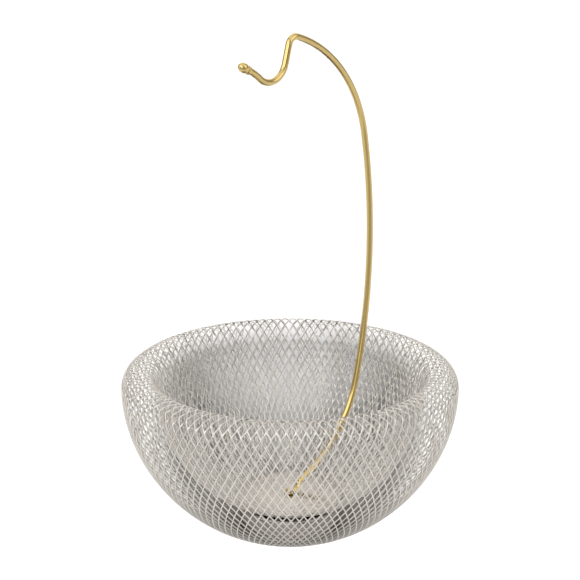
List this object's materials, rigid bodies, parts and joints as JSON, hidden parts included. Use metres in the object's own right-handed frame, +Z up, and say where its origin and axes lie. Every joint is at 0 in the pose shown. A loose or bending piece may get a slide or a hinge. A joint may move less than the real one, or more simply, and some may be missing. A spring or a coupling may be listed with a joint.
{
  "type": "metal mesh fruit bowl with banana hook",
  "caption": "Deep double-walled metal mesh fruit bowl with a rolled rim, a flat base and a tall curved wire hook for hanging bananas.",
  "frame": {"origin": "centre of the base, on the surface that the bowl stands on", "axes": "+Z up, the hook lies in the XZ plane with its arm bowing out to +X and its tip pointing to -X"},
  "size_m": [0.2988, 0.3, 0.4476],
  "materials": {
    "mesh": "satin warm silver expanded metal",
    "polished_steel": "bright satin steel sheet",
    "hook_brass": "satin gold",
    "fixing_steel": "plain zinc plated"
  },
  "bodies": {
    "root": {"mesh_wall": "mesh", "base_plate": "polished_steel", "base_cup": "polished_steel", "floor_disc": "polished_steel", "floor_spacer": "fixing_steel", "hook_wire": "hook_brass", "hook_tip": "hook_brass", "hook_screw": "hook_brass", "hook_nut": "fixing_steel"}
  },
  "joints": []
}
